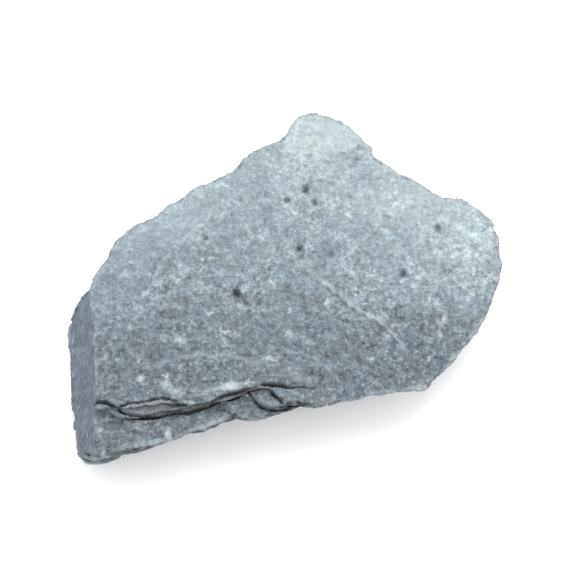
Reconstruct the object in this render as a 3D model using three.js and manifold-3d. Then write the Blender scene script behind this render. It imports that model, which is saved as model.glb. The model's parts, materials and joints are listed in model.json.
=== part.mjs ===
// A loose piece of slate rock, lying on its flat underside with its broad cleavage face up.
// Millimetres, +Z up. The origin is on the floor, under the middle of the stone's box.
//
// The stone is a stack of slate sheets, and each sheet is a thin prism with its own broken edge.
// The sheets are drawn level and joined. Facets, pits, scars and open partings are cut into them,
// the stack is leaned over with the cleavage, and the left joint and the underside are cut last.

import * as THREE from 'three';
import { mergeVertices } from 'three/addons/utils/BufferGeometryUtils.js';
import { ImprovedNoise } from 'three/addons/math/ImprovedNoise.js';
import Module from 'manifold-3d';

const wasm = await Module();
wasm.setup();

// Driving dimensions of the whole stone

const FACE_HEIGHT = 18.8;        // height of the broad face above the floor at x = y = 0
const FACE_FALL_X = 0.06;        // how much it falls per millimetre to the right
const FACE_FALL_Y = 0.0875;      // and per millimetre to the back
const SHEET_DEPTHS = [0, 0.9, 1.8, 2.8, 5.6, 8.6, 11.4, 14.4, 17.8, 21.6, 26.5];
const LEDGE_SHEET = 3;           // the first sheet that sticks out in front, under the main parting
const LEDGE_FRONT = -31;         // from here forward the top of the ledge falls away
const LEDGE_FALL = 7;            // degrees
const SHEET_OVERLAP = 0.15;      // neighbouring sheets grow into each other
const TOP_SPARE = 1.5;           // the first sheet starts this high, and the relief trims it
const UNDERCUT = 0.8;            // a sheet's wall leans in as if it were this much deeper
const EDGE_STEP = 3.75;          // longest straight run along a broken edge
const EDGE_WAVE = { length: 11, size: 1.9, layer: 0, perSheet: 3.7 };
const EDGE_SPLINTER = { length: 3.4, size: 0.7, layer: 40, perSheet: 5.3 };
const EDGE_SETBACK = 0.55;       // broken edges lie a little inside the traced ones
const TRACED_SHARE = 0.12;       // the first sheet keeps to its outline, deeper ones less so
const SHARE_PER_SHEET = 0.2;
const LARGEST_SHARE = 1.4;
const RIM_SHARE = 0.972;         // under the parting the sheets draw back from the rim
const RELIEF_CELL = 4;           // the broad face's relief has one height every 4 mm
const RELIEF_COLUMNS = 31;       // and reaches past the rim on every side of its centre
const RELIEF_ROWS = 27;
const RELIEF_CENTRE = [-1, 0];
const RELIEF_DEPTH = 40;
const RELIEF_SWELL = { length: 21, size: 0.9, layer: 8.5, perSheet: 0 };
const RELIEF_LUMPS = { length: 8, size: 0.6, layer: 3.5, perSheet: 0 };
const HEART = [0, -2];           // every edge of the stone can be seen from this point
const CUTTER = 160;              // side of the blocks that cut flat facets, larger than the stone

// Outlines seen from above, right and back first, anticlockwise

// The rim of the broad face from its front right corner round the back to its left corner
const RIM = [
  [33.6, -28.3], [35.9, -25.0], [38.7, -21.7], [40.7, -18.5], [44.1, -15.2], [46.1, -11.6],
  [49.0, -7.3], [50.0, -3.7], [51.8, 0.8], [52.6, 4.8], [51.7, 8.1], [52.0, 11.7], [50.5, 15.5],
  [47.2, 19.0], [43.7, 21.2], [38.3, 22.2], [32.2, 25.2], [27.3, 28.3], [22.5, 33.1],
  [18.3, 37.1], [15.0, 41.2], [10.8, 44.4], [6.9, 45.5], [3.1, 44.1], [0.9, 40.9],
  [-2.3, 36.5], [-7.3, 33.3], [-11.0, 30.9], [-13.2, 28.4], [-17.2, 26.5], [-22.7, 22.9],
  [-28.4, 19.2], [-33.9, 15.5], [-38.7, 12.1], [-41.9, 9.4], [-43.6, 5.7], [-45.6, 1.1],
  [-47.8, -3.0], [-54.0, -7.0],
];

// The lip of the broad face along the front, left to right
const FACE_LIP = [
  [-54.0, -33.5], [-45.3, -33.2], [-41.3, -33.0], [-37.7, -33.2], [-33.6, -32.0], [-30.0, -31.5],
  [-27.3, -31.7], [-24.6, -32.7], [-21.9, -32.6], [-19.2, -31.8], [-16.5, -30.9], [-12.9, -29.9],
  [-10.2, -28.9], [-6.5, -27.4], [-4.3, -27.6], [-2.5, -29.5], [-0.6, -32.0], [2.5, -32.2],
  [6.2, -33.2], [8.2, -33.4], [13.6, -31.5], [20.2, -29.7], [27.3, -28.7],
];

// The thin sheet in the parting stands out in two places only
const SLIVER_LIP = [
  [-54.0, -32.0], [-44.5, -31.8], [-41.9, -32.9], [-39.2, -33.9], [-36.5, -34.7], [-31.9, -34.6],
  [-27.4, -33.7], [-23.8, -32.5], [-20.0, -31.2], [-16.0, -29.8], [-12.4, -28.9], [-9.8, -29.7],
  [-7.0, -31.5], [-4.7, -32.6], [-0.6, -32.7], [1.6, -32.4], [5.7, -32.2], [8.2, -31.9],
  [13.6, -29.9], [20.2, -28.1], [27.3, -27.1],
];

// The ledge under the parting
const LEDGE_LIP = [
  [-54.0, -40.6], [-50.2, -43.9], [-46.3, -45.6], [-43.6, -45.5], [-40.5, -44.7], [-36.9, -43.4],
  [-32.8, -42.4], [-29.2, -41.4], [-25.6, -40.1], [-22.0, -38.8], [-18.4, -37.3], [-15.7, -36.4],
  [-13.4, -34.8], [-11.1, -35.7], [-8.4, -36.1], [-5.2, -35.3], [-2.0, -34.1], [1.6, -32.9],
  [7.0, -31.0], [13.0, -28.8], [20.2, -27.0], [27.3, -25.4],
];

// Where the walls meet the floor
const FOOT = [
  [30.0, -18.5], [38.5, -11.5], [45.0, -3.0], [48.2, 6.0], [46.0, 14.0], [39.0, 18.5],
  [30.0, 24.0], [21.0, 32.0], [13.0, 40.0], [7.0, 44.0], [1.0, 41.5], [-6.0, 35.5],
  [-14.0, 29.0], [-25.0, 21.5], [-34.5, 15.5], [-42.5, 8.0], [-48.0, 0.0], [-58.0, -6.0],
  [-58.0, -34.0], [-50.6, -39.6], [-48.6, -41.6], [-45.0, -41.6], [-36.0, -37.7], [-26.0, -34.0],
  [-14.0, -29.3], [-2.0, -25.5], [10.0, -21.5], [20.0, -19.5],
];

// Flat facets of the broad face, anticlockwise: the crease runs from one point to the other
// with the facet on its right hand, and the facet falls away from it by an angle in degrees.

const FACE_FACETS = [
  { from: [13.0, -25.0], to: [40.0, -14.0], fall: 6 },      // lower right
  { from: [43.0, -20.5], to: [48.4, 9.0], fall: 18 },       // right rim
  { from: [48.4, 7.7], to: [42.5, 26.0], fall: 15 },        // upper right rim
  { from: [16.4, 34.0], to: [-9.6, 32.6], fall: 9 },        // chip at the peak
  { from: [-12.3, 24.8], to: [-41.6, -13.8], fall: 7 },     // left band
  { from: [-41.6, -3.0], to: [-43.0, -11.5], fall: 20 },    // left corner
  { from: [-45.1, -25.0], to: [34.0, -20.2], fall: 5 },     // front band
];

// The smooth joint face on the left cuts straight through all the sheets

const LEFT_JOINT = { x: -46.1, y: -15, z: 23, lean: 18, turn: 3 };

// The shoulder behind it is broken off, almost upright: a point, and the way it faces

const LEFT_SHOULDER = { at: [-48.2, -2.9, 22], facing: [-0.89, 0.44, 0.15] };

// Flakes gone from the lower edges: a plane through a point, rising away from the middle

const UNDER_FLAKES = [
  { at: [-18, 17.5], toward: [-0.55, 0.83], rise: 21 },
  { at: [7, 35], toward: [0.15, 1], rise: 17 },
  { at: [38, 4], toward: [1, 0.12], rise: 24 },
  { at: [27, -10], toward: [0.45, -0.9], rise: 15 },
  { at: [-20, -27], toward: [-0.2, -1], rise: 12 },
  { at: [-46, -2], toward: [-0.8, 0.6], rise: 30 },
];

// Shallow steps in the underside, where a sheet has come away: a point on the riser, the way
// the step lies from there, and its height

const UNDER_STEPS = [
  { at: [16, 17], toward: [0.62, 0.78], rise: 1.4 },
  { at: [-36, -6], toward: [-0.97, 0.24], rise: 0.9 },
  { at: [2, -22], toward: [0.1, -1], rise: 1.1 },
];

// Small pits in the broad face: place, half length, and the way the long side lies in degrees

const PITS = [
  [4.5, 23.9, 1.5, 70], [0.0, 20.7, 1.2, 20], [6.7, 20.3, 1.3, 110], [2.8, 8.0, 1.6, 60],
  [10.6, 6.3, 1.2, 0], [19.5, 6.5, 1.2, 140], [36.4, 13.6, 1.4, 80], [27.8, 1.9, 1.6, 50],
  [-20.0, 9.9, 1.5, 120], [-12.4, -4.0, 1.9, 130], [-10.2, -6.2, 1.4, 135], [25.4, -9.6, 1.2, 30],
  [-25.8, -13.5, 1.3, 90], [-41.4, -9.7, 1.2, 60], [-31.0, 3.0, 1.3, 150], [14.0, -14.5, 1.3, 15],
];
const PIT_WIDTH = 0.7;           // a pit's width and depth against its length
const PIT_DEPTH = 0.42;

// Shell-shaped scars: middle, radius of the curve, and how deep it bites below the broad face

const SCARS = [
  { at: [33.6, -13.0], radius: 8, bite: 0.9 },
  { at: [53.6, 14.2], radius: 7, bite: 2.2 },
  { at: [54.2, 0.2], radius: 8, bite: 1.8 },
  { at: [49.6, -13.0], radius: 8, bite: 2.0 },
  { at: [-46.5, 10.5], radius: 9, bite: 2.6 },
  { at: [-14.5, 30.5], radius: 6, bite: 2.0 },
  { at: [24.5, 34.5], radius: 8, bite: 2.2 },
];

// Open partings between sheets: middle, depth under the broad face, half length, reach, gape

const PARTINGS = [
  { at: [-30.0, -33.0], depth: 1.7, half: 15, reach: 5.0, gape: 0.7, turn: 3 },
  { at: [-3.5, -31.5], depth: 1.7, half: 9.5, reach: 5.0, gape: 0.7, turn: -14 },
  { at: [-27.0, -34.5], depth: 3.05, half: 19, reach: 6.0, gape: 0.8, turn: 8 },
  { at: [-2.5, -33.2], depth: 3.05, half: 10, reach: 5.0, gape: 0.7, turn: -6 },
  { at: [-29.0, 18.5], depth: 5.6, half: 16, reach: 4.5, gape: 1.0, turn: 36 },
  { at: [27.0, 28.0], depth: 5.6, half: 14, reach: 4.5, gape: 1.0, turn: -36 },
  { at: [47.0, -6.0], depth: 8.6, half: 12, reach: 5.0, gape: 1.0, turn: 66 },
  { at: [-30.0, -40.5], depth: 14.4, half: 16, reach: 4.5, gape: 1.0, turn: 20 },
];

// Turning a closed geometry into a solid and back

const solidOf = (geometry) => {
  const bare = geometry.index ? geometry.clone() : geometry;
  bare.deleteAttribute('normal');
  bare.deleteAttribute('uv');
  const merged = mergeVertices(bare, 1e-5);
  return new wasm.Manifold(new wasm.Mesh({
    numProp: 3,
    vertProperties: new Float32Array(merged.attributes.position.array),
    triVerts: new Uint32Array(merged.index.array),
  }));
};

const geometryOf = (solid) => {
  const mesh = solid.getMesh();
  const geometry = new THREE.BufferGeometry();
  geometry.setAttribute('position', new THREE.BufferAttribute(mesh.vertProperties, 3));
  geometry.setIndex(new THREE.BufferAttribute(mesh.triVerts, 1));
  return geometry;
};

// Sheets are drawn level, with the broad face at z = 0, and then sheared onto the cleavage

const ontoCleavage = new THREE.Matrix4().set(
  1, 0, 0, 0,
  0, 1, 0, 0,
  -FACE_FALL_X, -FACE_FALL_Y, 1, FACE_HEIGHT,
  0, 0, 0, 1,
);

const heightOfFace = (x, y) => FACE_HEIGHT - FACE_FALL_X * x - FACE_FALL_Y * y;

// A smooth random wave over the plane, read from its own layer, which changes with the sheet

const roughness = new ImprovedNoise();
const waveAt = (x, y, { length, size, layer, perSheet }, sheet = 0) => {
  const level = layer + perSheet * sheet;
  return size * roughness.noise(x / length, y / length, level);
};

// Points along an outline, with its corners kept and its long runs split

const splitRuns = (outline) => outline.flatMap(([x, y], i) => {
  const [nextX, nextY] = outline[(i + 1) % outline.length];
  const runs = Math.ceil(Math.hypot(nextX - x, nextY - y) / EDGE_STEP);
  return Array.from({ length: runs }, (_, k) => [
    THREE.MathUtils.lerp(x, nextX, k / runs),
    THREE.MathUtils.lerp(y, nextY, k / runs),
  ]);
});

// Distance from the heart to an outline, in the direction of (dx, dy)

const distanceTo = (outline, dx, dy) => {
  let far = 0;
  outline.forEach(([x, y], i) => {
    const [nextX, nextY] = outline[(i + 1) % outline.length];
    const ax = x - HEART[0];
    const ay = y - HEART[1];
    const ex = nextX - x;
    const ey = nextY - y;
    const cross = dx * ey - dy * ex;
    if (Math.abs(cross) < 1e-9) return;
    const along = (ax * ey - ay * ex) / cross;
    const share = (ax * dy - ay * dx) / cross;
    if (along > 0 && share >= 0 && share <= 1) far = Math.max(far, along);
  });
  return far;
};

// The broken edge of a sheet: the traced outline, drawn towards the foot with depth, and
// roughened in or out by a long wave and a short one that change from sheet to sheet

const brokenEdge = (outline, depth, drawnAt, sheet, rough) => splitRuns(outline).map(([x, y]) => {
  const rim = Math.hypot(x - HEART[0], y - HEART[1]);
  const dx = (x - HEART[0]) / rim;
  const dy = (y - HEART[1]) / rim;
  const share = (depth - drawnAt) / (heightOfFace(x, y) - drawnAt);
  const reach = THREE.MathUtils.lerp(rim, distanceTo(FOOT, dx, dy), Math.min(share, 1));
  const wave = waveAt(x, y, EDGE_WAVE, sheet);
  const splinter = waveAt(x, y, EDGE_SPLINTER, sheet);
  const radius = reach + rough * (wave + splinter - EDGE_SETBACK);
  return [HEART[0] + dx * radius, HEART[1] + dy * radius];
});

// A sheet between an upper and a lower edge: a fan on top, a wall, a fan below

const sheetSolid = (upper, lower, top, bottom) => {
  const count = upper.length;
  const positions = [];
  upper.forEach(([x, y]) => positions.push(x, y, top));
  lower.forEach(([x, y]) => positions.push(x, y, bottom));
  positions.push(...HEART, top, ...HEART, bottom);
  const index = [];
  for (let i = 0; i < count; i += 1) {
    const next = (i + 1) % count;
    index.push(2 * count, i, next);
    index.push(i, count + i, next, next, count + i, count + next);
    index.push(2 * count + 1, count + next, count + i);
  }
  const geometry = new THREE.BufferGeometry();
  geometry.setAttribute('position', new THREE.Float32BufferAttribute(positions, 3));
  geometry.setIndex(index);
  return solidOf(geometry);
};

const outlineOfSheet = (sheet) => {
  if (sheet < 2) return [...RIM, ...FACE_LIP];
  if (sheet < LEDGE_SHEET) return [...RIM, ...SLIVER_LIP];
  return [...RIM.map(([x, y]) => [x * RIM_SHARE, y * RIM_SHARE]), ...LEDGE_LIP];
};

const slateSheet = (sheet) => {
  const top = SHEET_DEPTHS[sheet];
  const bottom = SHEET_DEPTHS[sheet + 1];
  const outline = outlineOfSheet(sheet);
  const drawnAt = sheet < LEDGE_SHEET ? 0 : SHEET_DEPTHS[LEDGE_SHEET];
  const rough = Math.min(TRACED_SHARE + SHARE_PER_SHEET * sheet, LARGEST_SHARE);
  const undercut = sheet === 0 ? 0 : UNDERCUT;
  const upper = brokenEdge(outline, top, drawnAt, sheet, rough);
  const lower = brokenEdge(outline, bottom + undercut, drawnAt, sheet + 0.1, rough);
  const rise = sheet === 0 ? TOP_SPARE : SHEET_OVERLAP;
  return sheetSolid(upper, lower, rise - top, -bottom - SHEET_OVERLAP);
};

// A big block whose lower side is a slanting plane: it cuts a flat facet.
// The plane holds the point and the direction of its trace, and the block lies on its normal side.

const blockAbove = (point, trace, normal) => {
  const side = new THREE.Vector3().crossVectors(normal, trace);
  const frame = new THREE.Matrix4().makeBasis(trace, side, normal);
  const middle = point.clone().addScaledVector(normal, CUTTER / 2);
  const block = new THREE.BoxGeometry(CUTTER, CUTTER, CUTTER);
  return solidOf(block.applyMatrix4(frame.setPosition(middle)));
};

const facetBlock = ({ from, to, depth = 0, fall }) => {
  const start = new THREE.Vector3(...from, -depth);
  const trace = new THREE.Vector3(...to, -depth).sub(start).normalize();
  const normal = new THREE.Vector3(0, 0, 1).applyAxisAngle(trace, THREE.MathUtils.degToRad(fall));
  return blockAbove(start, trace, normal);
};

const underFlakeBlock = ({ at, toward, rise }) => {
  const outward = new THREE.Vector3(...toward, 0).normalize();
  const trace = new THREE.Vector3(-outward.y, outward.x, 0);
  const normal = new THREE.Vector3(0, 0, -1).applyAxisAngle(trace, THREE.MathUtils.degToRad(-rise));
  return blockAbove(new THREE.Vector3(...at, 0), trace, normal);
};

const underStepBlock = ({ at, toward, rise }) => {
  const block = new THREE.BoxGeometry(CUTTER, CUTTER, CUTTER);
  block.translate(CUTTER / 2, 0, rise - CUTTER / 2);
  block.rotateZ(Math.atan2(toward[1], toward[0]));
  block.translate(...at, 0);
  return solidOf(block);
};

const leftJointBlock = () => {
  const { x, y, z, lean, turn } = LEFT_JOINT;
  const normal = new THREE.Vector3(-1, 0, 0);
  normal.applyAxisAngle(new THREE.Vector3(0, 1, 0), THREE.MathUtils.degToRad(lean));
  normal.applyAxisAngle(new THREE.Vector3(0, 0, 1), THREE.MathUtils.degToRad(turn));
  const trace = new THREE.Vector3(0, 0, 1).cross(normal).normalize();
  return blockAbove(new THREE.Vector3(x, y, z), trace, normal);
};

const leftShoulderBlock = () => {
  const normal = new THREE.Vector3(...LEFT_SHOULDER.facing).normalize();
  const trace = new THREE.Vector3(0, 0, 1).cross(normal).normalize();
  return blockAbove(new THREE.Vector3(...LEFT_SHOULDER.at), trace, normal);
};

// The relief of the broad face: a block with low lumps and hollows on its upper side

const reliefAt = (x, y) => waveAt(x, y, RELIEF_SWELL) + waveAt(x, y, RELIEF_LUMPS);

const reliefBlock = () => {
  const block = new THREE.BoxGeometry(
    RELIEF_COLUMNS * RELIEF_CELL,
    RELIEF_ROWS * RELIEF_CELL,
    RELIEF_DEPTH,
    RELIEF_COLUMNS,
    RELIEF_ROWS,
    1,
  );
  block.translate(...RELIEF_CENTRE, -RELIEF_DEPTH / 2);
  const position = block.attributes.position;
  for (let i = 0; i < position.count; i += 1) {
    if (position.getZ(i) < 0) continue;
    position.setZ(i, reliefAt(position.getX(i), position.getY(i)));
  }
  return solidOf(block);
};

const pitBall = ([x, y, half, turn]) => {
  const ball = new THREE.SphereGeometry(half, 9, 6);
  ball.rotateX(Math.PI / 2);
  ball.scale(1, PIT_WIDTH, PIT_DEPTH);
  ball.rotateZ(THREE.MathUtils.degToRad(turn));
  ball.translate(x, y, reliefAt(x, y));
  return solidOf(ball);
};

const scarBall = ({ at, radius, bite }) => {
  const ball = new THREE.IcosahedronGeometry(radius, 4);
  ball.translate(...at, radius - bite);
  return solidOf(ball);
};

const partingLens = ({ at, depth, half, reach, gape, turn }) => {
  const lens = new THREE.SphereGeometry(1, 14, 6);
  lens.rotateX(Math.PI / 2);
  lens.scale(half, reach, gape / 2);
  lens.rotateZ(THREE.MathUtils.degToRad(turn));
  lens.translate(...at, -depth);
  return solidOf(lens);
};

const joinAll = (solids) => solids.reduce((whole, solid) => whole.add(solid));

const cutAll = (whole, solids) => solids.reduce((left, solid) => left.subtract(solid), whole);

// Putting the stone together

const sheets = SHEET_DEPTHS.slice(0, -1).map((_, sheet) => slateSheet(sheet));

const ledgeTop = facetBlock({
  from: [-60, LEDGE_FRONT],
  to: [60, LEDGE_FRONT],
  depth: SHEET_DEPTHS[LEDGE_SHEET],
  fall: LEDGE_FALL,
});
const upperSheets = joinAll(sheets.slice(0, LEDGE_SHEET)).intersect(reliefBlock());
const lowerSheets = joinAll(sheets.slice(LEDGE_SHEET)).subtract(ledgeTop);
const marks = [...PITS.map(pitBall), ...SCARS.map(scarBall), ...PARTINGS.map(partingLens)];
const levelStone = cutAll(upperSheets.add(lowerSheets), [...FACE_FACETS.map(facetBlock), ...marks]);

const leaningStone = solidOf(geometryOf(levelStone).applyMatrix4(ontoCleavage));
const floorBlock = blockAbove(
  new THREE.Vector3(0, 0, 0),
  new THREE.Vector3(1, 0, 0),
  new THREE.Vector3(0, 0, -1),
);
const stone = cutAll(leaningStone, [
  leftJointBlock(),
  leftShoulderBlock(),
  floorBlock,
  ...UNDER_FLAKES.map(underFlakeBlock),
  ...UNDER_STEPS.map(underStepBlock),
]);

const stoneShape = geometryOf(stone);
stoneShape.computeBoundingBox();
const middle = stoneShape.boundingBox.getCenter(new THREE.Vector3());
stoneShape.translate(-middle.x, -middle.y, -stoneShape.boundingBox.min.z);
stoneShape.computeVertexNormals();

const slate = new THREE.MeshStandardMaterial({ color: 0x9eabb1, roughness: 0.88, metalness: 0 });
const slateStone = new THREE.Mesh(stoneShape, slate);
slateStone.name = 'slate_stone';

const part = new THREE.Group();
part.add(slateStone);

export default part;
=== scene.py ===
import json
import math

import bpy
import numpy as np
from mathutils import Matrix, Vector

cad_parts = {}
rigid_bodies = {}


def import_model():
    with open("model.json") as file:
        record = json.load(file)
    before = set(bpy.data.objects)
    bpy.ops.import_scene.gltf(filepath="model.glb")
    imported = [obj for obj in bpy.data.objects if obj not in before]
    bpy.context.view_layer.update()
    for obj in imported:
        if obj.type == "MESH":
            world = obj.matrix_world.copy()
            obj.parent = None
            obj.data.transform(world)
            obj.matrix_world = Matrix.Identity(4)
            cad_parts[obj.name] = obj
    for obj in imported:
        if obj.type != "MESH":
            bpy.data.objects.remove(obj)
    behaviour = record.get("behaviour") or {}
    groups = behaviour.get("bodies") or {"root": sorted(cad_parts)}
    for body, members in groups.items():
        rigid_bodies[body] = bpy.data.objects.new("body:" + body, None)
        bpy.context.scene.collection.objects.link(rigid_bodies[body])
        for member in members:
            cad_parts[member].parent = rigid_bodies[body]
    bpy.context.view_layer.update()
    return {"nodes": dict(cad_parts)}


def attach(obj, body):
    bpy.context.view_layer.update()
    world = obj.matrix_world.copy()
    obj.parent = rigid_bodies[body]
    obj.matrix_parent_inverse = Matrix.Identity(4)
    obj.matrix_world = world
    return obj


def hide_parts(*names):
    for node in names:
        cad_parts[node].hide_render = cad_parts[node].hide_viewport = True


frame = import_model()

# The rock's form. One loose piece of slate, split along its cleavage and broken off all round: a
# riven face on top, ragged layered edges, a smooth joint face on the left and a flat underside.
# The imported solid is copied, remeshed finely, roughened layer by layer and thinned again.

mm = 0.001
cleavage = Vector((0.06, 0.0875, 1.0)).normalized()
left_joint = Vector((-0.95, -0.05, 0.31)).normalized()
out_of_face = np.array(cleavage)
out_of_joint = np.array(left_joint)
lean = Vector((0.0, 0.0, 1.0)).rotation_difference(cleavage)
face_middle = np.array((0.94, -0.16, 18.8))
mesh_grain = 0.27 * mm
same_place = 0.001 * mm
most_triangles = 190000

bpy.ops.object.select_all(action="DESELECT")
rock = bpy.data.objects.new("slate_stone_surface", frame["nodes"]["slate_stone"].data.copy())
bpy.context.scene.collection.objects.link(rock)
bpy.context.view_layer.objects.active = rock
rock.select_set(True)
rock.data.materials.clear()
bpy.ops.object.mode_set(mode="EDIT")
bpy.ops.mesh.select_all(action="SELECT")
bpy.ops.mesh.remove_doubles(threshold=same_place)
bpy.ops.object.mode_set(mode="OBJECT")


def finish_with(kind, name, **settings):
    """One modifier on the rock, set and applied."""
    modifier = rock.modifiers.new(name, kind)
    for key, value in settings.items():
        setattr(modifier, key, value)
    bpy.ops.object.modifier_apply(modifier=name)


def rows_of(owner, field):
    """What the mesh holds for each of its points, such as a place: three numbers in a row."""
    flat = np.empty(len(owner) * 3, dtype=np.float32)
    owner.foreach_get(field, flat)
    return flat.reshape(-1, 3).astype(np.float64)


def point_places():
    """Where the rock's points lie, in metres."""
    return rows_of(rock.data.vertices, "co")


def put_points(places):
    """Moves the rock's points to these places."""
    rock.data.vertices.foreach_set("co", places.astype(np.float32).ravel())
    rock.data.update()


def neighbour_mean(values, ends, rounds):
    """Each point's values, averaged with its neighbours' several times over."""
    count = len(values)
    share = np.bincount(ends.ravel(), minlength=count) + 1.0
    for _ in range(rounds):
        total = values.copy()
        for column in range(values.shape[1]):
            for here, there in ((0, 1), (1, 0)):
                total[:, column] += np.bincount(
                    ends[:, here], weights=values[ends[:, there], column], minlength=count
                )
        values = total / share[:, None]
    return values


def ramp(values, low, high):
    """0 below low, 1 above high, and a smooth rise between."""
    part = np.clip((values - low) / (high - low), 0.0, 1.0)
    return part * part * (3.0 - 2.0 * part)


def lie_of_surface(rounds):
    """The way each point faces, smoothed over its surroundings, and the two ends of each edge."""
    mesh = rock.data
    normals = rows_of(mesh.vertex_normals, "vector")
    ends = np.empty(len(mesh.edges) * 2, dtype=np.int32)
    mesh.edges.foreach_get("vertices", ends)
    ends = ends.reshape(-1, 2)
    normals = neighbour_mean(normals, ends, rounds)
    normals /= np.linalg.norm(normals, axis=1)[:, None]
    return normals, ends


def bend_of_surface(facing, ends, rounds):
    """How sharply the surface turns at each point, per millimetre: above 0 on edges, below 0 in
    nooks."""
    places = point_places()
    along = places[ends[:, 1]] - places[ends[:, 0]]
    turn = facing[ends[:, 1]] - facing[ends[:, 0]]
    bend = np.einsum("ij,ij->i", turn, along) / np.einsum("ij,ij->i", along, along)
    count = len(places)
    total = np.bincount(ends[:, 0], weights=bend, minlength=count)
    total += np.bincount(ends[:, 1], weights=bend, minlength=count)
    mean = total / np.bincount(ends.ravel(), minlength=count)
    return neighbour_mean(mean[:, None], ends, rounds)[:, 0] * mm


def weight_group(name, weights, levels=24):
    """A vertex group with these weights, given in a few dozen levels."""
    group = rock.vertex_groups.new(name=name)
    level = np.rint(weights * levels).astype(int)
    for step in range(1, levels + 1):
        members = np.nonzero(level == step)[0]
        if len(members):
            group.add(members.tolist(), step / levels, "REPLACE")


finish_with("REMESH", "fine even mesh", mode="VOXEL", voxel_size=mesh_grain)
finish_with("SMOOTH", "rub the edges down", factor=0.5, iterations=5)

# How squarely a point faces the cleavage or the joint tells a riven face from a broken edge and
# from the joint face. Where the surface turns sharply, it is a rim.
facing, edge_ends = lie_of_surface(rounds=3)
toward_cleavage = np.abs(facing @ out_of_face)
toward_joint = facing @ out_of_joint
on_joint = ramp(toward_joint, 0.93, 0.98)
rim = ramp(bend_of_surface(facing, edge_ends, rounds=6), 0.12, 0.45)
weight_group("riven faces", ramp(toward_cleavage, 0.80, 0.93))
weight_group("broken edges", (1.0 - ramp(toward_cleavage, 0.72, 0.90)) * (1.0 - on_joint))
weight_group("joint face", on_joint)
weight_group("rims", rim)
weight_group("joint crease", rim * ramp(toward_joint, 0.5, 0.7))

finish_with(
    "SMOOTH", "soften the facets", factor=0.5, iterations=22, vertex_group="riven faces"
)
finish_with(
    "SMOOTH", "round the joint's edge", factor=0.5, iterations=16, vertex_group="joint crease"
)


def guide(name, stretch):
    """An axis cross turned with the cleavage. The lumps of a pattern that is measured along it
    are as many millimetres long, wide and high as the cross is stretched."""
    bpy.ops.object.empty_add(type="PLAIN_AXES", location=(0, 0, 0))
    cross = bpy.context.object
    cross.name = name
    cross.rotation_euler = lean.to_euler()
    cross.scale = [side * mm for side in stretch]
    bpy.ops.object.select_all(action="DESELECT")
    bpy.context.view_layer.objects.active = rock
    rock.select_set(True)
    bpy.context.view_layer.update()
    return cross


def roughen(name, size, depth, where, along, middle=0.5, steps=None):
    """Moves one group of points in and out by a cloudy pattern, by up to depth in all. Steps make
    terraces of the clouds: each is a value of the pattern and its height, from 0 to 1."""
    texture = bpy.data.textures.new(name, type="CLOUDS")
    texture.noise_basis = "ORIGINAL_PERLIN"
    texture.noise_type = "SOFT_NOISE"
    texture.noise_depth = 2
    texture.noise_scale = size
    if steps:
        texture.use_color_ramp = True
        terraces = texture.color_ramp
        terraces.interpolation = "LINEAR"
        terraces.elements[0].position = steps[0][0]
        terraces.elements[1].position = steps[-1][0]
        for place, _ in steps[1:-1]:
            terraces.elements.new(place)
        for element, (_, height) in zip(terraces.elements, steps):
            element.color = (height, height, height, 1.0)
    finish_with(
        "DISPLACE",
        name,
        texture=texture,
        texture_coords="OBJECT",
        texture_coords_object=along,
        mid_level=middle,
        strength=depth,
        vertex_group=where,
    )


even = guide("even", (1.0, 1.0, 1.0))
layered = guide("layered", (7.0, 7.0, 0.75))
splintered = guide("splintered", (2.6, 2.6, 0.32))

roughen("layers", 1.0, 1.3 * mm, "broken edges", layered,
        steps=[(0.28, 0.0), (0.38, 0.2), (0.41, 0.45), (0.52, 0.55), (0.55, 0.85), (0.68, 1.0)])
roughen("splinters", 1.0, 0.36 * mm, "broken edges", splintered)
roughen("nibbles", 5.0, 0.4 * mm, "rims", even, middle=0.6,
        steps=[(0.30, 0.0), (0.46, 0.35), (0.50, 0.8), (0.62, 1.0)])
roughen("lumps", 5.5, 0.8 * mm, "riven faces", even)
roughen("terraces", 12.0, 0.45 * mm, "riven faces", even,
        steps=[(0.30, 0.0), (0.42, 0.1), (0.45, 0.42), (0.55, 0.5), (0.58, 0.85), (0.7, 1.0)])
roughen("peck marks", 1.6, 0.34 * mm, "riven faces", even)
roughen("joint swell", 9.0, 0.7 * mm, "joint face", even)
roughen("joint ripple", 2.2, 0.22 * mm, "joint face", even)

for cross in (even, layered, splintered):
    bpy.data.objects.remove(cross)

# Thin flakes are gone from the broad face, and each left a little step that runs out again.
# A step is a line seen from above, in millimetres, with the lowered side on its right hand, then
# its drop, how far the drop runs out, and how worn its edge is.
left_band_edge = [
    (-17.0, 19.0), (-22.0, 13.5), (-27.5, 9.0), (-30.6, 4.0), (-33.2, -1.8), (-36.0, -9.5),
    (-39.5, -16.5),
]
flake_steps = [
    ([(2.7, 4.1), (9.0, -2.2), (14.5, -6.4), (21.6, -11.4), (25.5, -14.8), (29.3, -20.9)],
     0.80, 7.0, 1.0),
    (left_band_edge, 0.65, 7.0, 0.6),
    ([(19.0, 34.2), (11.6, 32.7), (6.0, 32.4), (-0.5, 32.8), (-6.0, 31.8)], 0.45, 7.0, 0.5),
    ([(-22.0, -1.0), (-14.0, -6.5), (-7.5, -9.0), (0.0, -8.0)], 0.34, 6.0, 0.5),
    ([(30.0, 14.5), (37.0, 11.0), (42.0, 5.0), (44.0, -2.0)], 0.38, 6.0, 0.5),
    ([(-34.0, -24.0), (-24.0, -21.0), (-15.0, -20.5), (-6.0, -22.5)], 0.36, 5.0, 0.5),
    ([(36.0, -16.6), (37.0, -14.4), (37.3, -12.0), (36.4, -8.6)], 0.60, 1.6, 0.9),
]


def from_the_face(places):
    """The points in millimetres, measured from the middle of the broad face. The third number is
    0 on the face and less than 0 below it."""
    seen = places / mm - face_middle
    seen[:, 2] = seen @ out_of_face
    return seen


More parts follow.
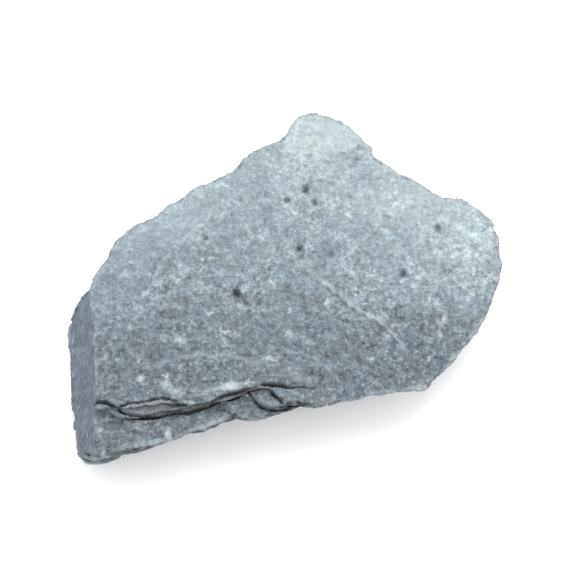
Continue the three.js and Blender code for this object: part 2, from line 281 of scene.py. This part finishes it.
def beside_line(places, line):
    """For each point: its distance from a line seen from above, in millimetres, more than 0 on
    the right hand, and its share of the way along."""
    x, y, _ = from_the_face(places).T
    nearest = np.full(len(places), 1e6)
    beside = np.zeros(len(places))
    along = np.zeros(len(places))
    for i, (start, end) in enumerate(zip(line, line[1:])):
        run = np.subtract(end, start)
        length = np.hypot(*run)
        share = ((x - start[0]) * run[0] + (y - start[1]) * run[1]) / length ** 2
        share = np.clip(share, 0.0, 1.0)
        away = np.hypot(x - start[0] - share * run[0], y - start[1] - share * run[1])
        side = np.sign((x - start[0]) * run[1] - (y - start[1]) * run[0])
        closer = away < nearest
        nearest[closer] = away[closer]
        beside[closer] = (side * away)[closer]
        along[closer] = (i + share[closer]) / (len(line) - 1)
    return beside, along


def waver(places):
    """A small irregular swing to the left and right, in millimetres."""
    x, y, _ = from_the_face(places).T
    return (0.6 * np.sin(0.9 * x + 0.5 * y) + 0.4 * np.sin(2.1 * y - 1.3 * x + 1.0)
            + 0.3 * np.sin(3.7 * x + 1.9 * y + 2.0))


def press_in(places, depths):
    """Presses the points of the broad face and the ledge down, square to the cleavage."""
    facing, _ = lie_of_surface(rounds=1)
    on_face = ramp(facing @ out_of_face, 0.85, 0.95)
    places -= np.outer(depths * on_face * mm, out_of_face)
    put_points(places)


def step_marks(places, line, drop, run_out, worn_share):
    """How far a step lowers each point, and how near the point is to the step's bruised edge."""
    bruise_at, bruise_width = -0.4, 0.5
    beside, along = beside_line(places, line)
    beside += 0.5 * waver(places)
    fade = np.sqrt(np.sin(np.pi * along))
    lowered = drop * fade * ramp(beside, -0.2, 0.3) * np.exp(-np.maximum(beside, 0.0) / run_out)
    return lowered, worn_share * fade * np.exp(-((beside - bruise_at) / bruise_width) ** 2)


for step in flake_steps:
    places = point_places()
    press_in(places, step_marks(places, *step)[0])

# Small pits, where grains have dropped out: place, half length, the way the long side lies, and
# how dark and deep the pit is against the darkest. The pits are pressed in a little and painted
# dark, as painted shade in them.
pits = [
    (4.5, 23.9, 1.6, 70, 1.0), (0.0, 20.7, 1.2, 20, 0.8), (6.7, 20.3, 1.3, 110, 0.9),
    (2.8, 8.0, 1.7, 60, 0.8), (10.6, 6.3, 1.3, 0, 0.5), (19.5, 6.5, 1.2, 140, 0.4),
    (36.4, 13.6, 1.5, 80, 0.7), (27.8, 1.9, 1.7, 50, 0.6), (-20.0, 9.9, 1.5, 120, 0.5),
    (-12.4, -4.0, 1.9, 130, 1.0), (-10.2, -6.2, 1.4, 135, 0.7), (25.4, -9.6, 1.2, 30, 0.4),
    (-25.8, -13.5, 1.3, 90, 0.4), (-41.4, -9.7, 1.2, 60, 0.5), (-31.0, 3.0, 1.3, 150, 0.3),
    (14.0, -14.5, 1.3, 15, 0.3), (-3.0, 3.5, 0.9, 40, 0.4), (15.5, 15.0, 0.9, 100, 0.4),
    (-18.5, 14.5, 0.8, 10, 0.4), (33.0, -5.5, 0.9, 70, 0.5), (45.5, 9.5, 1.4, 20, 0.5),
]
pits_reach_down = 2.0

# Pale flecks, where the face or the ledge is bruised: the same measures, but only the colour
# changes there.
pale_flecks = [
    (-0.5, 19.2, 0.8, 30, 1.0), (-39.5, 0.6, 1.2, 60, 0.8), (-25.9, -16.5, 1.5, 150, 0.7),
    (-34.7, -26.2, 1.2, 40, 1.0), (-29.2, -27.9, 1.7, 150, 0.8), (-26.2, -29.5, 1.5, 150, 0.8),
    (-13.7, -27.6, 1.8, 26, 0.8), (0.3, -14.7, 1.3, 10, 0.7), (43.8, 7.5, 1.5, 60, 1.0),
    (41.5, 14.0, 1.6, 120, 0.8), (37.4, -9.8, 0.9, 90, 0.9), (15.8, -2.1, 0.8, 0, 0.6),
    (-28.3, -39.3, 1.3, 90, 0.9), (-44.6, -38.8, 0.9, 45, 0.7), (-35.4, -37.0, 1.5, 90, 0.5),
    (-19.5, 9.0, 1.2, 70, 0.6), (-17.0, 7.5, 1.3, 115, 0.6), (-43.0, -21.0, 1.0, 80, 0.6),
    (24.0, -3.5, 0.8, 20, 0.5), (-8.0, -19.0, 0.9, 140, 0.5), (31.0, -2.0, 0.9, 60, 0.6),
]
flecks_reach_down = 7.0


def spot_marks(places, spots, reaches_down):
    """How far each point lies in one of the spots, from 0 to 1, and how deep a pit is there. The
    spots lie on the face, and down to so many millimetres under it."""
    width_share, depth_share, raggedness = 0.62, 0.36, 0.45
    x, y, z = from_the_face(places).T
    ragged = raggedness * waver(places * 2.3)
    marks = np.zeros(len(places))
    depths = np.zeros(len(places))
    for at_x, at_y, half, turn, strength in spots:
        long_way = (math.cos(math.radians(turn)), math.sin(math.radians(turn)))
        u = (x - at_x) * long_way[0] + (y - at_y) * long_way[1]
        v = (y - at_y) * long_way[0] - (x - at_x) * long_way[1]
        reach = np.hypot(u / half, v / (width_share * half)) + ragged
        marks = np.maximum(marks, strength * (1.0 - ramp(reach, 0.1, 1.5)))
        depths = np.maximum(depths, depth_share * half * strength * (1.0 - ramp(reach, 0.1, 1.2)))
    near_top = ramp(z, -reaches_down - 0.5, 0.5 - reaches_down)
    return marks * near_top, depths * near_top


places = point_places()
press_in(places, spot_marks(places, pits, pits_reach_down)[1])

# Open cracks follow the lip and the thin sheet under it: lines seen from above, with the width
# and the depth of each. The long one and the one behind it hold a pale sliver between them.
long_crack = [
    (-45.3, -32.3), (-43.1, -32.4), (-40.6, -33.4), (-38.7, -34.5), (-36.8, -35.1),
    (-33.9, -35.4), (-31.1, -35.0), (-28.3, -34.5), (-25.5, -33.7), (-23.1, -33.5),
    (-20.7, -32.8), (-18.4, -31.9), (-15.6, -30.6), (-13.7, -29.9), (-10.9, -29.0),
    (-8.0, -28.0), (-5.7, -27.2), (-2.9, -27.5), (0.0, -27.8), (2.9, -27.9), (6.2, -28.2),
]
crack_behind = [
    (-40.0, -33.4), (-37.7, -32.5), (-35.0, -32.1), (-32.6, -31.6), (-30.2, -31.2),
    (-27.9, -31.3), (-25.5, -32.1), (-23.1, -32.5),
]
cracks = [
    (long_crack, 0.56, 1.6),
    (crack_behind, 0.36, 0.9),
    ([(-9.5, -29.0), (-7.6, -31.2), (-5.9, -32.4), (-3.8, -32.8), (-1.5, -32.9), (0.9, -32.6),
      (3.3, -32.1), (6.2, -32.5)], 0.38, 0.9),
    ([(-3.9, -29.1), (-2.0, -30.7), (-0.1, -31.9), (1.8, -31.7), (3.7, -31.7), (5.6, -32.3)],
     0.38, 0.9),
    ([(-17.0, -32.7), (-14.7, -33.4), (-12.4, -34.2), (-10.9, -35.3)], 0.26, 0.5),
]


def crack_marks(places):
    """How deep the cracks are at each point, and how far the point lies in each of their marks,
    from 0 to 1: in a crack, at a crack's mouth, on the bruised strip behind the long crack, and
    on the pale sliver."""
    inside = np.zeros(len(places))
    depths = np.zeros(len(places))
    mouth = np.zeros(len(places))
    mouth_width = 1.3
    under_face = -from_the_face(places)[:, 2]
    near_top = 1.0 - ramp(under_face, 4.5, 6.0)
    swing = 0.16 * waver(places)
    for line, width, depth in cracks:
        beside, along = beside_line(places, line)
        beside += swing
        # A crack is thin at both ends, gapes near its start and a little again further along
        taper = np.sin(np.pi * np.clip(0.14 + 0.80 * along, 0.0, 1.0)) ** 0.4
        gape = 0.85 + 0.35 * np.sin(31.0 * along) + 0.5 * np.exp(-along / 0.1)
        second_gape = 1.0 + 0.35 * np.exp(-((along - 0.7) / 0.15) ** 2)
        half = width * taper * gape * second_gape
        opened = (1.0 - ramp(np.abs(beside), 0.35 * half, half)) * near_top
        inside = np.maximum(inside, opened)
        depths = np.maximum(depths, opened * depth * taper)
        mouth = np.maximum(mouth, np.exp(-(beside / mouth_width) ** 2) * near_top)
    beside, along = beside_line(places, long_crack)
    behind = ramp(-beside, 0.4, 1.0) * (1.0 - ramp(-beside, 1.6, 4.5)) * near_top
    bruise = behind * np.sin(np.pi * along) ** 0.5 * (1.0 - ramp(under_face, 0.8, 1.6))
    beside_next, along_next = beside_line(places, crack_behind)
    sliver = ramp(-beside, 0.3, 0.8) * ramp(beside_next, 0.3, 0.7)
    sliver *= ramp(along_next, 0.0, 0.1) * (1.0 - ramp(along_next, 0.55, 0.8))
    return depths, {"crack": inside, "mouth": mouth, "bruise": bruise, "sliver": sliver}


places = point_places()
press_in(places, crack_marks(places)[0])

triangles = sum(len(face.vertices) - 2 for face in rock.data.polygons)
finish_with(
    "DECIMATE", "thin the mesh", ratio=most_triangles / triangles, use_collapse_triangulate=True
)

# Crumbs that the roughening has cut loose are taken off: only what hangs together with the
# middle of the broad face stays.
places = point_places()
middle_point = int(np.argmin(np.linalg.norm(places / mm - face_middle, axis=1)))
bpy.ops.object.mode_set(mode="EDIT")
bpy.ops.mesh.select_mode(type="VERT")
bpy.ops.mesh.select_all(action="DESELECT")
bpy.ops.object.mode_set(mode="OBJECT")
rock.data.vertices[middle_point].select = True
bpy.ops.object.mode_set(mode="EDIT")
bpy.ops.mesh.select_linked()
bpy.ops.mesh.select_all(action="INVERT")
bpy.ops.mesh.delete(type="VERT")
bpy.ops.object.mode_set(mode="OBJECT")

# The underside lies on the ground, so nothing of it reaches lower
places = point_places()
places[:, 2] = np.maximum(places[:, 2], 0.0)
put_points(places)
rock.vertex_groups.clear()
bpy.ops.object.shade_smooth()

# Marks that the stone's finish follows: where it is broken across the layers, where an edge
# stands proud and is worn, where it is sunk, and the spots, steps and cracks of the broad face.
facing, edge_ends = lie_of_surface(rounds=2)
bend = bend_of_surface(facing, edge_ends, rounds=2)
wide_facing, _ = lie_of_surface(rounds=8)
wide_bend = bend_of_surface(wide_facing, edge_ends, rounds=5)
beside_band, along_band = beside_line(places, left_band_edge)
marks = {
    "broken": 1.0 - ramp(np.abs(wide_facing @ out_of_face), 0.70, 0.90),
    "joint": ramp(wide_facing @ out_of_joint, 0.72, 0.97),
    "band": ramp(beside_band, -0.6, 0.8) * ramp(np.sin(np.pi * along_band), 0.0, 0.4),
    "proud": ramp(bend, 0.15, 0.9),
    "sunk": ramp(-bend, 0.15, 0.9),
    "rim": ramp(wide_bend, 0.06, 0.3),
    "nook": ramp(-wide_bend, 0.06, 0.35),
    **crack_marks(places)[1],
    "pit": spot_marks(places, pits, pits_reach_down)[0],
    "fleck": spot_marks(places, pale_flecks, flecks_reach_down)[0],
    "crest": np.max([step_marks(places, *step)[1] for step in flake_steps], axis=0)
    * ramp(from_the_face(places)[:, 2], -3.0, -2.0),
}
for name, values in marks.items():
    attribute = rock.data.attributes.new(name, "FLOAT", "POINT")
    attribute.data.foreach_set("value", values.astype(np.float32))


# The rock's finish. Bluish-grey slate, matt all over. The riven face is mottled, with light
# bruises and pits, and is painted paler to the back and darker to the front, partly as painted
# light. Its pits, sunk creases, nooks and cracks carry painted shade. Edges broken across the
# layers are darker and striped by them, and the joint face is smoother and bluer.

def tone(red, green, blue):
    """A colour given as it looks on a screen, 0 to 255, as the light it sends back."""
    shares = [value / 255 for value in (red, green, blue)]
    return [s / 12.92 if s <= 0.04045 else ((s + 0.055) / 1.055) ** 2.4 for s in shares] + [1.0]


class Amount:
    """A number socket of a material, used in sums like a plain number."""

    def __init__(self, finish, socket):
        self.finish = finish
        self.socket = socket

    def _sum(self, operation, first, second):
        return self.finish.node("ShaderNodeMath", {"operation": operation}, {0: first, 1: second})

    def __add__(self, other):
        return self._sum("ADD", self, other)

    __radd__ = __add__

    def __sub__(self, other):
        return self._sum("SUBTRACT", self, other)

    def __rsub__(self, other):
        return self._sum("SUBTRACT", other, self)

    def __mul__(self, other):
        return self._sum("MULTIPLY", self, other)

    __rmul__ = __mul__


class Finish:
    """A material that is put together node by node."""

    def __init__(self, name):
        self.material = bpy.data.materials.new(name)
        self.material.use_nodes = True
        self.tree = self.material.node_tree
        self.shader = self.tree.nodes["Principled BSDF"]

    def node(self, kind, settings, sockets, output=0):
        """A node with these settings, and these values or links in its sockets."""
        new = self.tree.nodes.new(kind)
        for key, value in settings.items():
            setattr(new, key, value)
        for key, value in sockets.items():
            self.feed(new.inputs[key], value)
        return Amount(self, new.outputs[output])

    def feed(self, socket, value):
        """Puts a value, or a link to another node, into a socket."""
        if isinstance(value, Amount):
            self.tree.links.new(value.socket, socket)
        else:
            socket.default_value = value

    def set(self, name, value):
        """One property of the finished surface, such as its roughness."""
        self.feed(self.shader.inputs[name], value)


slate = Finish("slate")
here = slate.node("ShaderNodeTexCoord", {}, {}, output="Object")
mm_per_metre = 1000.0
in_mm = slate.node(
    "ShaderNodeMapping", {"vector_type": "POINT"},
    {"Vector": here, "Rotation": lean.inverted().to_euler(), "Scale": (mm_per_metre,) * 3},
)


def cloud(size, detail=3.0, rough=0.55, stretch=(1.0, 1.0, 1.0), shift=0.0):
    """Cloudy noise from 0 to 1, with lumps of this size in millimetres."""
    place = slate.node(
        "ShaderNodeMapping", {"vector_type": "POINT"},
        {"Vector": in_mm, "Location": (shift, shift, shift), "Scale": stretch},
    )
    return slate.node(
        "ShaderNodeTexNoise", {"noise_dimensions": "3D"},
        {"Vector": place, "Scale": 1.0 / size, "Detail": detail, "Roughness": rough},
    )


def between(amount, low, high):
    """0 where the amount is below low, 1 above high. With low above high it falls instead."""
    return slate.node(
        "ShaderNodeMapRange", {"interpolation_type": "SMOOTHSTEP", "clamp": True},
        {"Value": amount, "From Min": low, "From Max": high, "To Min": 0.0, "To Max": 1.0},
    )


def mark(name):
    """One of the marks that the mesh carries, from 0 to 1."""
    return slate.node(
        "ShaderNodeAttribute", {"attribute_type": "GEOMETRY", "attribute_name": name}, {},
        output="Fac",
    )


def lay_over(under, over, share):
    """One colour laid over another, where the share is 1."""
    return slate.node(
        "ShaderNodeMix", {"data_type": "RGBA", "blend_type": "MIX"},
        {"Factor": share, "A": under, "B": over}, output="Result",
    )


def deepen(colour, amount):
    """A colour made darker or lighter all over by an amount, where 1 leaves it alone."""
    return slate.node(
        "ShaderNodeMix", {"data_type": "RGBA", "blend_type": "MULTIPLY"},
        {"Factor": 1.0, "A": colour, "B": amount}, output="Result",
    )


broken = mark("broken")
joint = mark("joint")
band = mark("band")

swells = cloud(26.0, detail=2.0)
patches = cloud(7.0, detail=3.0, shift=15.0)
mottle = cloud(2.4, detail=4.0, rough=0.65, shift=30.0)
grain = cloud(1.0, detail=3.0, rough=0.7, shift=60.0)
dust = cloud(0.45, detail=2.0, rough=0.7, shift=37.0)
layers = cloud(1.0, detail=3.0, rough=0.6, stretch=(0.12, 0.12, 1.6), shift=90.0)
streaks = cloud(1.6, detail=2.0, stretch=(0.2, 1.0, 1.0), shift=45.0)

front_grey = tone(87, 95, 101)
middle_grey = tone(110, 120, 126)
peak_grey = tone(136, 146, 150)
cap_grey = tone(152, 162, 166)
joint_grey = tone(75, 85, 98)
worn_grey = tone(150, 159, 163)
fleck_grey = tone(176, 184, 188)
stain_and_shade_grey = tone(53, 56, 60)
crack_shade_grey = tone(31, 31, 34)
rust_brown = tone(98, 86, 76)
lilac_grey = tone(122, 121, 126)
streak_blue = tone(112, 124, 137)
cool_tint = (0.99, 0.995, 1.015, 1.0)
warm_tint = (1.015, 1.005, 0.975, 1.0)

# Where the stone is paler or darker, in millimetres across it and to its back. Part of it is the
# stone's own patchy tone, and part is painted light and shade: the colour is painted paler to the
# back, on the pale cap of the peak, on the left band and at the right corner, and darker to the
# front and its right corner, as if the light fell more strongly from behind. A ring of painted
# shade lies round the foot of the cap.
across, back = (
    slate.node("ShaderNodeSeparateXYZ", {}, {"Vector": in_mm}, output=axis) for axis in range(2)
)
pale_end = between(across, 4.0, 36.0) * between(back, -16.0, 2.0)
cap_edge = back + 2.4 * (mottle - 0.5) - 3.0 * between(across, 13.0, 19.0)
cap_side = across + 1.6 * (mottle - 0.5) - 0.57 * (back - 32.8)
pale_cap = between(cap_edge, 31.7, 32.6) * between(cap_side, -2.2, -0.6)
# Painted shade: a darker ring round the foot of the cap, stronger on its right side
right_collar = between(across, 10.0, 15.0) * between(across, 27.0, 21.0)
right_collar = right_collar * between(back, 22.0, 26.5)
left_collar = between(across, 3.0, -2.0) * between(across, -12.0, -7.0)
left_collar = left_collar * between(back, 17.0, 22.0)
cap_foot_shade = 19.0 * right_collar + 9.0 * left_collar + 5.0 * between(cap_edge, 28.0, 30.5)
pale_corner = between(across, 36.0, 46.0) * between(back, 6.0, 14.0)
pale_band = between(across, -12.0, -26.0) * between(back, -4.0, 10.0)
dark_corner = between(across, 2.0, 22.0) * between(back, -6.0, -18.0)
paleness_and_painted_light = back + 4.0 * band + 21.0 * pale_end + 10.0 * pale_cap + 9.0 * pale_band
paleness_and_painted_light = paleness_and_painted_light - 9.0 * dark_corner + 10.0 * pale_corner
paleness_and_painted_light = paleness_and_painted_light - cap_foot_shade * (1.0 - pale_cap)
paleness_and_painted_light = paleness_and_painted_light + 30.0 * (swells - 0.5) + 24.0 * (patches - 0.5)
# Painted light: these greys run from darker at the front to paler at the back and on the cap,
# partly the stone's own tone and partly painted light and shade
colour = lay_over(front_grey, middle_grey, between(paleness_and_painted_light, -30.0, 12.0))
colour = lay_over(colour, peak_grey, between(paleness_and_painted_light, 4.0, 46.0))
colour = lay_over(colour, cap_grey, pale_cap * 0.25)
colour = lay_over(colour, joint_grey, joint * 0.85)
colour = lay_over(colour, front_grey, broken * (0.25 + 0.45 * between(layers, 0.42, 0.6)))

# The speckle: three sizes of grain together, with the pale ones drawn out a little. It is weaker
# to the back, on the cap, on the joint face and on the left band.
contrast = 0.85 + 0.35 * between(0.6 * patches + 0.4 * swells, 0.42, 0.58)
calm = 0.50 * between(back, -12.0, 24.0) + 0.32 * pale_cap + 0.1 * pale_end
contrast = contrast * (1.22 - calm) * (1.0 - 0.3 * joint) * (1.0 - 0.35 * band)
speckle = 1.70 * mottle + 2.00 * grain + 1.00 * dust - 2.35
speckle = 0.84 * speckle + 0.28 * between(speckle, 0.05, 0.6) - 0.025
colour = deepen(colour, 0.7 + 0.30 * patches + 0.30 * streaks + contrast * speckle)
hues = cloud(6.0, detail=3.0, rough=0.6, shift=23.0)
tint = lay_over(cool_tint, warm_tint, between(hues, 0.38, 0.62) * (1.0 - band))
colour = deepen(colour, tint)
bright_grains = between(cloud(0.9, detail=2.0, rough=0.6, shift=51.0), 0.56, 0.70)
colour = lay_over(colour, worn_grey, bright_grains * 0.35 * (1.0 - broken))

# Streaks down the dip of the joint face, scattered flecks and stains, and worn edges
dip_streaks = between(cloud(1.6, detail=2.0, stretch=(1.0, 1.0, 0.12), shift=8.0), 0.48, 0.64)
colour = lay_over(colour, streak_blue, joint * dip_streaks * 0.45)
flecks = between(cloud(3.2, detail=3.0, rough=0.6, shift=12.0), 0.62, 0.74)
colour = lay_over(colour, fleck_grey, flecks * 0.5)
stains = between(cloud(2.8, detail=3.0, rough=0.6, shift=77.0), 0.61, 0.72)
colour = lay_over(colour, stain_and_shade_grey, stains * 0.35)
bruise = mark("bruise") * between(cloud(3.0, stretch=(0.35, 1.0, 1.0), shift=5.0), 0.46, 0.60)
crest = mark("crest") * (0.55 + 0.45 * between(mottle, 0.38, 0.55))
worn = (mark("proud") * 0.35 + mark("rim") * 0.40) * (1.0 - 0.92 * mark("mouth"))
worn = worn * between(mottle, 0.3, 0.6) + 0.55 * bruise + 0.85 * crest
colour = lay_over(colour, worn_grey, worn)

# Pale spots, rust and painted shade in the nooks, painted shade in the sunk creases and the pits,
# the sliver behind the long crack, and painted shade in the cracks themselves, with a hint of
# rust along part of the long one
colour = lay_over(colour, fleck_grey, mark("fleck") * (0.1 + 1.1 * grain))
colour = lay_over(colour, rust_brown, mark("nook") * between(patches, 0.45, 0.6) * 0.5)
# Painted shade in the sunk creases and, more lightly, in the nooks
colour = lay_over(colour, stain_and_shade_grey, mark("sunk") * 0.5 + mark("nook") * 0.25)
# Painted shade in the pits
colour = lay_over(colour, stain_and_shade_grey, mark("pit") * (0.25 + 0.8 * grain))
colour = lay_over(colour, lilac_grey, mark("sliver") * (0.1 + 0.9 * mottle))
rusty = between(across, -26.0, -18.0) * between(across, 2.0, -6.0)
crack_shade_and_rust = lay_over(crack_shade_grey, rust_brown, rusty * 0.08)
# The cracks are filled with near-black painted shade, with a hint of rust
colour = lay_over(colour, crack_shade_and_rust, mark("crack") * 0.92)

height = 0.30 * mottle + 0.26 * grain + 0.10 * dust + 0.30 * (broken * layers)
bump = slate.node(
    "ShaderNodeBump", {}, {"Strength": 1.0, "Distance": mm, "Height": height}, output="Normal"
)
slate.set("Base Color", colour)
slate.set("Roughness", 0.78 + 0.15 * mottle)
slate.set("Specular IOR Level", 0.35)
slate.set("Normal", bump)

rock.data.materials.append(slate.material)
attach(rock, "root")
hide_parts("slate_stone")

# The floor. One wide, level sheet of plain white paper, matt, that the rock lies on and that
# takes its soft shade.

floor_side = 6.0
paper_white = (0.96, 0.96, 0.96, 1.0)

bpy.ops.object.select_all(action="DESELECT")
bpy.ops.mesh.primitive_plane_add(size=floor_side, location=(0.0, 0.0, 0.0))
floor = bpy.context.object
floor.name = "floor"
paper = Finish("white floor")
paper.set("Base Color", paper_white)
paper.set("Roughness", 0.9)
floor.data.materials.append(paper.material)

# The light. One wide soft lamp hangs above and behind the rock, and the pale room lights it from
# all sides, so that its shade is soft.

lamp_place = (0.05, 0.15, 0.27)
lamp_target = (0.0, 0.0, 0.01)
lamp_width, lamp_height = 0.30, 0.26
lamp_power = 0.90
room_white = (1.0, 1.0, 1.0, 1.0)
room_brightness = 1.45


def aim(thing, target):
    """Turns a lamp or the camera towards a point."""
    thing.rotation_euler = (Vector(target) - thing.location).to_track_quat("-Z", "Y").to_euler()


bpy.ops.object.light_add(type="AREA", location=lamp_place)
lamp = bpy.context.object
lamp.name = "soft lamp"
lamp.data.shape = "RECTANGLE"
lamp.data.size = lamp_width
lamp.data.size_y = lamp_height
lamp.data.energy = lamp_power
aim(lamp, lamp_target)

room = bpy.data.worlds.new("pale room")
room.use_nodes = True
room.node_tree.nodes["Background"].inputs["Color"].default_value = room_white
room.node_tree.nodes["Background"].inputs["Strength"].default_value = room_brightness
bpy.context.scene.world = room
bpy.context.scene.view_settings.view_transform = "Standard"

# The camera. A long lens on a stand looks down on the rock from the front, with the peak at the
# top of the picture.

elevation = math.radians(72)
distance = 0.7
aimed_at = Vector((0.00094, -0.00016, 0.011))
film_width = 36.0
lens_length = 180.0

bpy.ops.object.camera_add(
    location=aimed_at + distance * Vector((0.0, -math.cos(elevation), math.sin(elevation)))
)
camera = bpy.context.object
camera.name = "camera"
camera.data.sensor_width = film_width
camera.data.lens = lens_length
aim(camera, aimed_at)
bpy.context.scene.camera = camera
